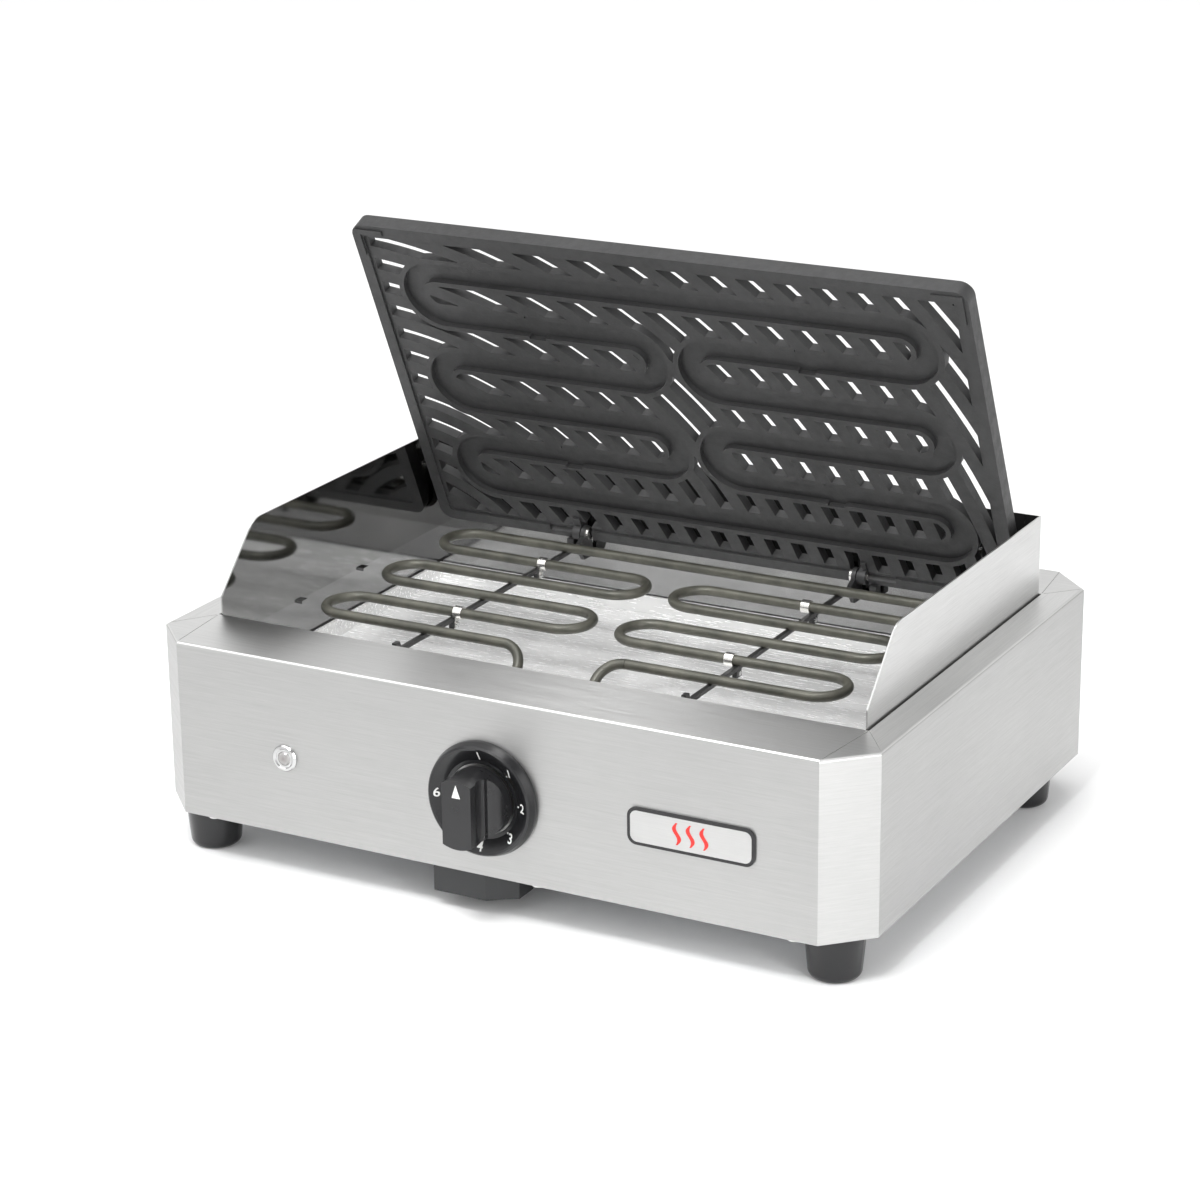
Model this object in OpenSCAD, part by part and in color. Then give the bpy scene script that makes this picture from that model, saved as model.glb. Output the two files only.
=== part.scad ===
// Electric table grill: a folded steel housing with an open well, a serpentine
// heating element on two bars, a lift-off splash guard and a hinged cast grate.
// X runs along the front panel, +Y to the rear, +Z up. The origin is under the
// middle of the whole object, on the surface that the feet stand on.

/* [Housing] */
// Width of the housing along the front panel
body_w = 500; // [420:5:620]
// Depth of the housing from front panel to rear panel
body_d = 380; // [330:5:470]
// Height of the housing from its bottom edge to the rim
body_h = 116; // [105:1:145]
// Size of the slanted corners, measured along each panel
corner_cut = 27; // [15:1:40]
// Thickness of the housing sheet
sheet = 1.2; // [0.8:0.1:2]
// Outer radius of the bend between the panels and the rim
bend_r = 2; // [1.3:0.1:3]
// Width of the rim in front of the well
rim_front = 56; // [50:1:75]
// Width of the rim at each side of the well
rim_side = 21; // [16:1:35]
// Width of the rim behind the well
rim_rear = 49.5; // [40:0.5:70]
// Width of the inward lip along the bottom edge
bottom_lip = 12; // [8:1:18]

/* [Feet] */
// Height of the feet
foot_h = 31; // [24:1:45]
// Radius of a foot at its top
foot_r = 19; // [14:0.5:24]
// Distance of the foot centres from the side panels
foot_side_inset = 29; // [26:1:45]
// Distance of the front foot centres from the front panel
foot_front_inset = 30; // [26:1:60]
// Distance of the rear foot centres from the rear panel
foot_rear_inset = 50; // [26:1:80]

/* [Well and tray] */
// Depth of the well below the rim
well_depth = 59; // [48:1:75]
// Thickness of the well and tray sheet
well_sheet = 1; // [0.6:0.1:1.5]
// Height of the drip tray wall
tray_h = 14; // [8:1:22]
// Gap between the drip tray and the well walls
tray_gap = 1.6; // [0.8:0.1:4]

/* [Splash guard] */
// Height of the guard above the rim
guard_rise = 53.5; // [35:0.5:80]
// Depth that the guard hangs into the well
guard_skirt = 17.5; // [10:0.5:22]
// Thickness of the guard sheet
guard_sheet = 1; // [0.8:0.1:1.5]
// Gap between the guard and the edge of the well
guard_gap = 1.5; // [0.6:0.1:3]
// Height of the guard's upright front ends above the rim
guard_front_rise = 12; // [5:0.5:25]
// Angle of the sloping front of the guard
guard_slope = 46; // [35:1:60]
// Radius between the sloping front and the level top edge
guard_corner_r = 20; // [5:1:30]

/* [Heating element] */
// Diameter of the element tube
tube_d = 6.6; // [6:0.1:8.5]
// Distance between neighbouring rows of tube
row_pitch = 37.3; // [34:0.1:42]
// Depth of the tube centre below the rim
tube_drop = 4.25; // [3.8:0.05:8]
// Distance of the outermost tube centre from the middle
tube_reach = 185; // [150:1:200]
// Distance of the innermost turns from the middle
tube_middle = 12; // [8:0.5:20]
// Distance of the rearmost row from the rear edge of the well
row_rear_gap = 42.5; // [38:0.5:60]
// Distance of the two leads from the middle
lead_x = 28; // [20:1:40]
// Bend radius of the leads at the tube centre
lead_bend_r = 16; // [12:1:20]

/* [Grate] */
// Width of the grate
grate_w = 439; // [380:1:440]
// Length of the grate from front edge to rear edge
grate_l = 258; // [250:1:262]
// Thickness of the grate at its edge
grate_t = 11.5; // [10:0.5:16]
// Height of the raised edge round the cooking side
grate_lip = 3.2; // [1:0.1:4]
// Width of the raised edge
grate_lip_w = 7; // [4:0.5:9]
// Radius of the grate's corners
grate_corner_r = 9; // [3:0.5:20]
// Width of the flat border under the grate
grate_border = 8; // [6:0.5:12]
// Depth of the underside inside the border
grate_recess = 1.5; // [0.5:0.1:3]
// Width of the channels that the tube lies in
channel_w = 15; // [12:0.5:18]
// Depth of the channels
channel_d = 4.2; // [2:0.1:5]
// Distance between neighbouring slots
slot_pitch = 19.2; // [15:0.1:26]
// Width of a slot
slot_w = 9.4; // [5:0.1:12]
// Land left between a slot and a channel or the border
slot_land = 3.75; // [2:0.05:6]
// Angle by which the grate stands open
open_angle = 65; // [40:1:66]

/* [Hinge] */
// Diameter of the hinge pins
pin_d = 5; // [4:0.5:6]
// Radial clearance between a hinge pin and the grate's ear
pin_clearance = 0.08; // [0.02:0.01:0.1]
// Depth of the hinge axis below the rim
hinge_drop = 2.65; // [2:0.05:6]
// Distance of the hinge axis from the rear edge of the well
hinge_rear_gap = 12; // [11:0.5:20]
// Distance of the bars from the middle
bar_x = 101; // [80:1:120]

/* [Controls] */
// Height of the knob and the pilot light above the housing's bottom edge
control_z = 51.6; // [45:0.5:60]
// Distance of the pilot light from the middle, to the left
pilot_x = 144; // [100:1:200]
// Distance of the badge from the middle, to the right
badge_x = 141; // [100:1:190]
// Height of the knob's face in front of the panel
knob_reach = 33; // [26:1:40]
// Radius of the knob
knob_r = 22; // [17:0.5:24]
// Radius of the dial ring
dial_r = 37; // [34:0.5:45]
// Diameter of the regulator's shaft
shaft_d = 6; // [5:0.5:8]

/* [Cable box] */
// Width of the cable box
box_w = 54; // [46:1:70]
// Length of the cable box from front to rear
box_l = 74; // [60:1:90]
// Depth of the cable box below the housing
box_h = 20; // [16:1:23]
// Diameter of the cable outlet
cable_d = 8.4; // [6:0.1:10]

/* [Hidden] */
$fn = 96;

// places: the housing's own frame has its middle at x = y = 0 and its bottom edge at z = 0
shift_y = knob_reach / 2;
front_y = -body_d / 2;
rear_y = body_d / 2;
well_x = body_w / 2 - rim_side;
well_front = front_y + rim_front;
well_rear = rear_y - rim_rear;
well_len = well_rear - well_front;
well_floor_z = body_h - well_depth;
tube_z = body_h - tube_drop;
tube_r = tube_d / 2;
turn_r = row_pitch / 2;
last_row = 5;
pivot_y = well_rear - hinge_rear_gap;
pivot_z = body_h - hinge_drop;
rear_overhang = 6;
guard_room = 2.8;
pivot_from_front = grate_l - rear_overhang;
foot_xs = [-1, 1] * (body_w / 2 - foot_side_inset);
foot_ys = [front_y + foot_front_inset, rear_y - foot_rear_inset];
base_t = 1;
seam_w = 0.4;
seam_depth = 0.35;
guard_x = well_x - guard_gap;
guard_rear = well_rear - guard_gap;
guard_front = well_front + 0.8;

// bars under the element
bar_web = 3;
bar_t = 2.8;
bar_bottom = tube_z - tube_r - 13;
stop_foot_z = tube_z - tube_r - 8;
stop_foot_t = 2;
stop_w = 5;
eye_r = 5.5;
ear_t = 6;
ear_gap = 0.8;
clip_w = 6;
clip_t = 1;
clip_rows = [1, 4];
rivet_d = 2;
rivet_z = tube_z - tube_r - 5;

// leads, glands and terminals
lead_slope = 45;
gland_r = 5;
gland_bore_r = tube_r + 0.05;
lead_straight = 14;
lead_low_y = row_y(last_row) - (lead_bend_r + lead_straight) * cos(lead_slope);
lead_low_z = tube_z - (lead_bend_r + lead_straight) * sin(lead_slope);
lead_out_z = lead_low_z - lead_bend_r * (1 - cos(lead_slope));
lead_out_y = lead_low_y - lead_bend_r * sin(lead_slope);
lead_end_y = well_front - well_sheet - 12;
terminal_l = 14;

// controls
knob_back = 4.5;
dial_back_r = 23;
regulator_w = 38;
regulator_t = 32;
tab_l = 8;
tab_rows = 10.6;
tab_low_z = control_z - tab_rows;
tab_high_z = control_z + tab_rows;
fixing_spacing = 22;
pilot_r = 8.75;
pilot_tube_l = 26;
pilot_body_r = 5.9;
lens_r = 4.7;
badge_w = 84;
badge_h = 24;

// cable box
box_front = front_y + 6;
box_left = -41;
box_wall = 2.5;
box_open_w = box_w - 26;
box_open_l = box_l - 34;
box_cx = box_left + box_w / 2;
box_cy = box_front + box_l / 2;

function row_y(i) = well_rear - row_rear_gap - i * row_pitch;

// everything is drawn in the housing's frame and set on its feet here
module on_feet() {
    translate([0, shift_y, foot_h]) children();
}

// draws its children at the left and mirrored at the right
module both_sides() {
    children();
    mirror([1, 0, 0]) children();
}

// turns a part drawn along +Z so that it points out of the front panel
module out_of_panel(x, z) {
    translate([x, front_y, z]) rotate([90, 0, 0]) children();
}

module octagon(w, d, cut) {
    polygon([
        [-w / 2 + cut, -d / 2], [w / 2 - cut, -d / 2], [w / 2, -d / 2 + cut],
        [w / 2, d / 2 - cut], [w / 2 - cut, d / 2], [-w / 2 + cut, d / 2],
        [-w / 2, d / 2 - cut], [-w / 2, -d / 2 + cut]
    ]);
}

// the housing's outline, drawn in by a distance
module housing_outline(inset) {
    octagon(body_w - 2 * inset, body_d - 2 * inset, corner_cut - inset * (2 - sqrt(2)));
}

module well_outline(grow) {
    translate([-well_x - grow, well_front - grow])
        square([2 * (well_x + grow), well_len + 2 * grow]);
}

module rounded_rect(w, l, r) {
    square([w - 2 * r, l], center = true);
    square([w, l - 2 * r], center = true);
    for (x = [-1, 1], y = [-1, 1])
        translate([x * (w / 2 - r), y * (l / 2 - r)]) circle(r);
}

// pan-head screw, head below z = 0 and shank upwards
module screw(head_d, head_h, shank_d, shank_l) {
    translate([0, 0, -head_h]) cylinder(d = head_d, h = head_h);
    cylinder(d = shank_d, h = shank_l);
}

// ---- housing ----

// what the bend takes off the upper edge of one panel, drawn along X with the panel at y = 0
module bend_cut() {
    middle = bend_r - 0.03;
    rotate([90, 0, 90]) linear_extrude(2 * body_w, center = true) difference() {
        translate([-1, -middle]) square(middle + 1);
        translate([middle, -middle]) circle(bend_r);
    }
}

module panel_bends() {
    corner_reach = (body_w / 2 + body_d / 2 - corner_cut) / sqrt(2);
    for (turn = [0:45:315]) {
        reach = turn % 180 == 0 ? body_d / 2 : turn % 90 == 0 ? body_w / 2 : corner_reach;
        rotate([0, 0, turn]) translate([0, -reach, body_h]) bend_cut();
    }
}

// open seams where the folded rims meet, stopping short of the bends and of the well
module rim_seam(from, to) {
    run = to - from;
    translate([from[0], from[1], body_h - seam_depth]) rotate([0, 0, atan2(run[1], run[0])])
        translate([bend_r + 1, -seam_w / 2, 0]) cube([norm(run) - bend_r - 2.5, seam_w, 2 * seam_depth]);
}

module rim_seams() {
    both_sides() for (end = [[-1, well_front], [1, well_rear]]) {
        opening = [well_x, end[1]];
        rim_seam([body_w / 2 - corner_cut, end[0] * body_d / 2], opening);
        rim_seam([body_w / 2, end[0] * (body_d / 2 - corner_cut)], opening);
    }
}

module housing_shell() {
    color("lightgray") on_feet() difference() {
        union() {
            difference() {
                linear_extrude(body_h) housing_outline(0);
                translate([0, 0, -1]) linear_extrude(body_h - sheet + 1) housing_outline(sheet);
                translate([0, 0, body_h - sheet - 1]) linear_extrude(sheet + 2) well_outline(0);
            }
            translate([0, 0, base_t]) linear_extrude(sheet) difference() {
                housing_outline(sheet / 2);
                housing_outline(sheet + bottom_lip);
            }
        }
        out_of_panel(0, control_z) translate([0, 0, -sheet - 1]) cylinder(r = shaft_d / 2 + 2, h = sheet + 2);
        for (s = [-1, 1])
            out_of_panel(0, control_z + s * fixing_spacing / 2)
                translate([0, 0, -sheet - 1]) cylinder(d = 4.2, h = sheet + 2);
        out_of_panel(-pilot_x, control_z) translate([0, 0, -sheet - 1]) cylinder(r = pilot_body_r + 0.1, h = sheet + 2);
        for (p = base_screw_places())
            translate([p[0], p[1], 0]) cylinder(d = 4, h = base_t + sheet + 1);
        panel_bends();
        rim_seams();
    }
}

function base_screw_places() = [
    for (x = [45 - body_w / 2, box_left + box_w + 20, body_w / 2 - 45], y = [-1, 1])
        [x, y * (body_d / 2 - sheet - bottom_lip / 2)]
];

module base_plate() {
    color("silver") on_feet() difference() {
        linear_extrude(base_t) housing_outline(sheet);
        for (x = foot_xs, y = foot_ys) translate([x, y, -1]) cylinder(d = 6.4, h = base_t + 2);
        for (p = base_screw_places()) translate([p[0], p[1], -1]) cylinder(d = 4, h = base_t + 2);
        translate([box_cx - box_open_w / 2, box_cy - box_open_l / 2, -1])
            cube([box_open_w, box_open_l, base_t + 2]);
        for (p = box_screw_places()) translate([p[0], p[1], -1]) cylinder(d = 3, h = base_t + 2);
        translate([earth_x, earth_y, -1]) cylinder(d = 4, h = base_t + 2);
        for (i = [-6:6], j = [-1:1])
            translate([i * vent_pitch, rear_y - 90 + j * 45, base_t / 2])
                cube([vent_w, vent_l, base_t + 2], center = true);
    }
}
vent_pitch = 24;
vent_w = 5;
vent_l = 32;

module base_screws() {
    color("gainsboro") on_feet()
        for (p = base_screw_places())
            translate([p[0], p[1], 0]) screw(8, 2.4, 4, base_t + sheet);
}

module feet() {
    bottom_r = foot_r - 2.5;
    edge_r = 5;
    color("#1a1a1a") on_feet()
        for (x = foot_xs, y = foot_ys) translate([x, y, -foot_h]) difference() {
            rotate_extrude() {
                polygon([
                    [0, 0], [bottom_r - edge_r, 0], [bottom_r, edge_r],
                    [foot_r, foot_h], [0, foot_h]
                ]);
                translate([bottom_r - edge_r, edge_r]) intersection() {
                    circle(edge_r);
                    translate([0, -edge_r]) square(edge_r);
                }
            }
            translate([0, 0, -1]) cylinder(r = 6.5, h = foot_h - 9);
            cylinder(d = 6.4, h = foot_h + 1);
        }
}

module foot_screws() {
    head_z = foot_h - 10;
    color("silver") on_feet()
        for (x = foot_xs, y = foot_ys)
            translate([x, y, head_z - foot_h]) screw(11, 4, 6, foot_h - head_z + base_t + 7);
}

module foot_nuts() {
    color("silver") on_feet()
        for (x = foot_xs, y = foot_ys) translate([x, y, base_t]) difference() {
            cylinder(r = 5.77, h = 5, $fn = 6);
            translate([0, 0, -1]) cylinder(d = 6, h = 7);
        }
}

// ---- well, tray and splash guard ----

module well_pan() {
    flange = 8;
    wall_h = well_depth - sheet;
    color("gainsboro") on_feet() difference() {
        union() {
            translate([0, 0, well_floor_z - well_sheet]) linear_extrude(wall_h + well_sheet)
                well_outline(well_sheet);
            translate([0, 0, body_h - sheet - well_sheet]) linear_extrude(well_sheet)
                well_outline(flange);
        }
        translate([0, 0, well_floor_z]) linear_extrude(wall_h + 1) well_outline(0);
        for (x = [-lead_x, lead_x])
            translate([x, well_front + 1, lead_out_z]) rotate([90, 0, 0])
                cylinder(r = gland_r, h = well_sheet + 2);
    }
}

module drip_tray() {
    hem = 2.2;
    color("whitesmoke") on_feet() translate([0, 0, well_floor_z]) difference() {
        linear_extrude(tray_h) well_outline(-tray_gap);
        translate([0, 0, well_sheet]) linear_extrude(tray_h - well_sheet - hem)
            well_outline(-tray_gap - well_sheet);
        translate([0, 0, tray_h - hem - 1]) linear_extrude(hem + 2)
            well_outline(-tray_gap - hem);
    }
}

// small folded tabs on the side walls of the well, which the guard stands on
rest_ys = [-0.155, 0.125] * well_len;
module guard_rests() {
    reach = 5.5;
    width = 7;
    color("silver") on_feet() both_sides()
        for (y = rest_ys)
            translate([-well_x, y - width / 2, body_h - guard_skirt - 2]) cube([reach, width, 2]);
}

// outline of a guard side: x is the distance from its front end, y is the height above the rim
module guard_side_outline() {
    slope_run = (guard_rise - guard_front_rise) / tan(guard_slope);
    len = guard_rear - guard_front;
    centre = [slope_run + guard_corner_r * tan(guard_slope / 2), guard_rise - guard_corner_r];
    steps = 12;
    corner = [
        for (i = [0:steps]) let (a = 90 + guard_slope * (1 - i / steps))
            centre + guard_corner_r * [cos(a), sin(a)]
    ];
    polygon(concat(
        [[0, -guard_skirt], [0, guard_front_rise]], corner,
        [[len, guard_rise], [len, -guard_skirt]]
    ));
}

module splash_guard() {
    color("silver") on_feet() translate([0, 0, body_h]) {
        both_sides()
            translate([-guard_x + guard_sheet, guard_front, 0]) rotate([90, 0, -90])
                mirror([1, 0, 0]) linear_extrude(guard_sheet) guard_side_outline();
        translate([-guard_x + guard_sheet, guard_rear - guard_sheet, -guard_skirt])
            cube([2 * (guard_x - guard_sheet), guard_sheet, guard_rise + guard_skirt]);
    }
}

// ---- heating element ----

// plan view of the element as a band of the given width; the front row runs
// through to the middle on the grate, and stops at the leads on the element
module serpentine(w, front_row_from) {
    straight_x = tube_reach - turn_r;
    inner_x = tube_middle + turn_r;
    translate([-straight_x, row_y(0) - w / 2]) square([2 * straight_x, w]);
    both_sides() {
        for (i = [1:last_row - 1])
            translate([inner_x, row_y(i) - w / 2]) square([straight_x - inner_x, w]);
        translate([front_row_from, row_y(last_row) - w / 2])
            square([straight_x - front_row_from, w]);
        for (i = [0:2:last_row - 1]) u_turn(straight_x, (row_y(i) + row_y(i + 1)) / 2, w, 1);
        for (i = [1:2:last_row - 1]) u_turn(inner_x, (row_y(i) + row_y(i + 1)) / 2, w, -1);
    }
}

module u_turn(x, y, w, side) {
    translate([x, y]) intersection() {
        difference() {
            circle(turn_r + w / 2);
            circle(turn_r - w / 2);
        }
        translate([side > 0 ? 0 : -row_pitch, -row_pitch]) square([row_pitch, 2 * row_pitch]);
    }
}

module tube_run(x0, x1, y) {
    translate([x0, y, tube_z]) rotate([0, 90, 0]) cylinder(r = tube_r, h = x1 - x0);
}

// bend of the tube about the Z axis, from the -Y side round to the +Y side
module tube_bend(r, angle) {
    rotate_extrude(angle = angle) translate([r, 0]) circle(tube_r);
}

// closes the joint between two stretches of tube, a hair wider than they are
module bead() {
    sphere(r = tube_r + 0.05);
}

// the lead leaves the front row, goes down and forward, and then level through the wall
module lead() {
    end = lead_out_y - lead_end_y;
    gap = 0.3;
    translate([lead_x + lead_bend_r, row_y(last_row), tube_z]) {
        translate([-gap / 2, 0, 0]) bead();
        rotate([lead_slope, 0, 0]) translate([-gap, -lead_bend_r, 0]) {
            rotate([0, 0, 90]) tube_bend(lead_bend_r, 90);
            translate([-lead_bend_r, -gap / 2, 0]) {
                bead();
                translate([0, -gap / 2, 0]) rotate([90, 0, 0]) cylinder(r = tube_r, h = lead_straight - gap);
                translate([0, -lead_straight, 0]) bead();
            }
            translate([-lead_bend_r, -lead_straight - gap, lead_bend_r]) rotate([0, 90, 0])
                mirror([0, 1, 0]) tube_bend(lead_bend_r, lead_slope);
        }
    }
    translate([lead_x, lead_out_y, lead_out_z]) rotate([90, 0, 0]) {
        translate([0, 0, gap / 2]) bead();
        translate([0, 0, gap]) cylinder(r = tube_r, h = end - gap);
    }
}

module heating_element() {
    straight_x = tube_reach - turn_r;
    inner_x = tube_middle + turn_r;
    color("#4a4a40") on_feet() {
        tube_run(-straight_x, straight_x, row_y(0));
        both_sides() {
            for (i = [1:last_row - 1]) tube_run(inner_x, straight_x, row_y(i));
            tube_run(lead_x + lead_bend_r, straight_x, row_y(last_row));
            for (i = [0:2:last_row - 1])
                translate([straight_x, (row_y(i) + row_y(i + 1)) / 2, tube_z])
                    rotate([0, 0, -90]) tube_bend(turn_r, 180);
            for (i = [1:2:last_row - 1])
                translate([inner_x, (row_y(i) + row_y(i + 1)) / 2, tube_z])
                    rotate([0, 0, 90]) tube_bend(turn_r, 180);
            lead();
        }
    }
}

// ---- bars, clips and hinge ----

// side view of a bar: x is along +Y and y is up
module bar_outline() {
    top = tube_z - tube_r;
    nose = pivot_y - pivot_from_front - 1;
    slim = top - bar_t;
    polygon([
        [well_front, slim], [well_front, top - 1], [nose, top - 1], [nose, pivot_z],
        [nose + 5, pivot_z], [nose + 7, top], [pivot_y - 12, top], [pivot_y - 4, pivot_z],
        [pivot_y + 4, pivot_z], [pivot_y + 7.5, stop_foot_z],
        [pivot_y + 7.5, body_h - guard_skirt - 1], [well_rear, body_h - guard_skirt - 1],
        [well_rear, bar_bottom], [pivot_y - 5, bar_bottom], [pivot_y - 13, slim]
    ]);
    translate([pivot_y, pivot_z]) circle(eye_r);
    for (i = clip_rows) translate([row_y(i) - 3.5, rivet_z - 2.5]) square([7, top - rivet_z + 2]);
}

// post whose slanted top stops the grate at its open angle
module bar_stop() {
    c = cos(open_angle);
    s = sin(open_angle);
    contact = rear_overhang + 0.02;
    low_y = pivot_y + c * contact;
    low_z = pivot_z - s * contact;
    reach = 4.6;
    polygon([
        [low_y - 3, stop_foot_z - stop_foot_t], [low_y + reach * s, stop_foot_z - stop_foot_t],
        [low_y + reach * s, low_z + reach * c], [low_y, low_z], [low_y - 3, low_z - 0.5]
    ]);
}

// lays a side view upright along Y, from x to x + width
module along_y(x, width) {
    translate([x, 0, 0]) rotate([90, 0, 90]) linear_extrude(width) children();
}

module support_bar() {
    stop_x = bar_x + bar_web + ear_gap + ear_t + 1.5;
    difference() {
        union() {
            along_y(bar_x, bar_web) bar_outline();
            along_y(stop_x, stop_w) bar_stop();
            translate([bar_x + bar_web, pivot_y, stop_foot_z - stop_foot_t])
                cube([stop_x + stop_w - bar_x - bar_web, 6, stop_foot_t]);
        }
        translate([bar_x - 1, pivot_y, pivot_z]) rotate([0, 90, 0])
            cylinder(d = pin_d, h = bar_web + 2);
        for (i = clip_rows) translate([bar_x - 1, row_y(i), rivet_z]) rotate([0, 90, 0])
            cylinder(d = rivet_d, h = bar_web + 2);
    }
}

module support_bar_left() {
    color("#26282a") on_feet() mirror([1, 0, 0]) support_bar();
}

module support_bar_right() {
    color("#26282a") on_feet() support_bar();
}

// pin through the bar and the grate's ear, with a flat head inside the bar
module hinge_pins() {
    length = bar_web + ear_gap + ear_t + 0.7;
    color("gainsboro") on_feet() both_sides()
        translate([bar_x, pivot_y, pivot_z]) rotate([0, 90, 0]) {
            cylinder(d = pin_d, h = length);
            translate([0, 0, -2]) cylinder(d = pin_d + 4, h = 2);
        }
}

// band round the tube with a tongue that is riveted to the side of the bar
module element_clips() {
    inner_r = tube_r + 0.02;
    color("white") on_feet() both_sides() for (i = clip_rows) difference() {
        union() {
            translate([bar_x - clip_w, row_y(i), tube_z]) rotate([0, 90, 0])
                cylinder(r = inner_r + clip_t, h = clip_w);
            translate([bar_x - clip_t, row_y(i) - 2.5, rivet_z - 2.2])
                cube([clip_t, 5, tube_z - tube_r - rivet_z + 1.7]);
        }
        translate([bar_x - clip_w, row_y(i), tube_z]) rotate([0, 90, 0])
            cylinder(r = inner_r, h = 3 * clip_w);
        translate([bar_x - clip_t - 1, row_y(i), rivet_z]) rotate([0, 90, 0])
            cylinder(d = rivet_d, h = clip_t + 2);
    }
}

module clip_rivets() {
    color("silver") on_feet() both_sides() for (i = clip_rows)
        translate([bar_x - clip_t, row_y(i), rivet_z]) rotate([0, 90, 0]) {
            screw(3.8, 0.9, rivet_d, clip_t + bar_web);
            translate([0, 0, clip_t + bar_web]) cylinder(d = 3.2, h = 0.7);
        }
}

module element_glands() {
    flange_t = 2.5;
    color("darkgray") on_feet() for (x = [-lead_x, lead_x])
        translate([x, well_front, lead_out_z]) rotate([90, 0, 0]) difference() {
            union() {
                translate([0, 0, -flange_t]) cylinder(r = gland_r + 2.5, h = flange_t);
                cylinder(r = gland_r, h = well_sheet + 5.5);
            }
            translate([0, 0, -flange_t - 1]) cylinder(r = gland_bore_r, h = flange_t + well_sheet + 8);
        }
}

module gland_nuts() {
    color("silver") on_feet() for (x = [-lead_x, lead_x])
        translate([x, well_front - well_sheet, lead_out_z]) rotate([90, 0, 0]) difference() {
            cylinder(r = 8.1, h = 4, $fn = 6);
            translate([0, 0, -1]) cylinder(r = gland_r, h = 6);
        }
}

// ceramic collar and terminal pin at the end of each lead
module element_terminals() {
    color("linen") on_feet() for (x = [-lead_x, lead_x])
        translate([x, lead_end_y, lead_out_z]) rotate([90, 0, 0]) {
            cylinder(r = tube_r + 1.2, h = 5);
            translate([0, 0, 5]) cylinder(r = 1.6, h = terminal_l - 5);
        }
}

// ---- grate ----

// plan view of the lands that the slots are cut through, seen from above
module slotted_lands() {
    inset = grate_border + 2.5;
    difference() {
        translate([0, pivot_y - pivot_from_front + grate_l / 2])
            square([grate_w - 2 * inset, grate_l - 2 * inset], center = true);
        serpentine(channel_w + 2 * slot_land, 0);
    }
}

// ribs of the grate follow arcs about one point near its rear left corner
arc_x = -(grate_w / 2 + 24.5);
arc_y = pivot_y - pivot_from_front + grate_l + 48;
arc_first_r = 79.2;
arc_count = 26;

module slot_arcs() {
    translate([arc_x, arc_y]) for (i = [0:arc_count]) difference() {
        circle(arc_first_r + i * slot_pitch + slot_w);
        circle(arc_first_r + i * slot_pitch);
    }
}

module ear_outline() {
    circle(eye_r);
    polygon([[-eye_r, 0], [-eye_r - 3, grate_recess + 2], [rear_overhang, grate_recess + 2], [rear_overhang, 0]]);
}

// the grate, lying closed with its hinge axis on the X axis at y = pivot_y, z = 0
module closed_grate() {
    front = pivot_y - pivot_from_front;
    middle = front + grate_l / 2;
    land = grate_recess + channel_d;
    pad_l = 21;
    pad_w = 4;
    pad_h = 1.2;
    notch = eye_r + 3;
    difference() {
        union() {
            linear_extrude(grate_t) translate([0, middle])
                rounded_rect(grate_w, grate_l, grate_corner_r);
            // angled pads under the front corners
            both_sides() translate([grate_w / 2 - pad_l - 3, front + 3, -pad_h]) difference() {
                cube([pad_l, pad_l, pad_h + grate_recess]);
                translate([-1, pad_w, -1]) cube([pad_l - pad_w + 1, pad_l, pad_h + grate_recess + 2]);
            }
            both_sides() translate([bar_x + bar_web + ear_gap, pivot_y, 0]) rotate([90, 0, 90])
                linear_extrude(ear_t) ear_outline();
        }
        translate([0, 0, -1]) linear_extrude(1 + grate_recess) difference() {
            translate([0, middle]) rounded_rect(
                grate_w - 2 * grate_border, grate_l - 2 * grate_border, 3);
            both_sides() translate([bar_x + bar_web + ear_gap, pivot_y - 12]) square([ear_t, 30]);
        }
        translate([0, 0, grate_t - grate_lip]) linear_extrude(grate_lip + 1) translate([0, middle])
            rounded_rect(grate_w - 2 * grate_lip_w, grate_l - 2 * grate_lip_w, 4);
        linear_extrude(land) serpentine(channel_w, 0);
        // wider pockets over the clips
        both_sides() for (i = clip_rows)
            translate([bar_x - clip_w / 2 - 6, row_y(i) - channel_w / 2 - 2, -1])
                cube([12, channel_w + 4, land + 1]);
        // slots right through
        translate([0, 0, -1]) linear_extrude(grate_t + 2) intersection() {
            slotted_lands();
            slot_arcs();
        }
        // notches for the bars' eyes
        both_sides() translate([bar_x - 3, pivot_y - notch, -3])
            cube([bar_web + 3 + ear_gap, 30, grate_t + 4]);
        // bevel that clears the guard when the grate stands open
        translate([-grate_w, pivot_y, 0]) rotate([90, 0, 90])
            linear_extrude(2 * grate_w) rotate(open_angle)
                translate([guard_rear - guard_sheet - guard_room - pivot_y, -grate_l / 2])
                    square([grate_l, grate_l]);
        both_sides() translate([bar_x, pivot_y, 0]) rotate([0, 90, 0])
            cylinder(r = pin_d / 2 + pin_clearance, h = 30);
    }
}

module cast_grate() {
    color("#2b2b2d") on_feet() translate([0, pivot_y, pivot_z]) rotate([-open_angle, 0, 0])
        translate([0, -pivot_y, 0]) closed_grate();
}

// ---- controls ----

module dial_bezel() {
    color("#151515") on_feet() out_of_panel(0, control_z) rotate_extrude()
        polygon([
            [dial_back_r, 0], [dial_r, 0], [dial_r, 2.5], [dial_r - 1.6, 7], [dial_r - 2.8, 8],
            [dial_r - 4.2, 7.6], [dial_r - 11.5, 3.4], [dial_back_r, 3]
        ]);
}

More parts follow.
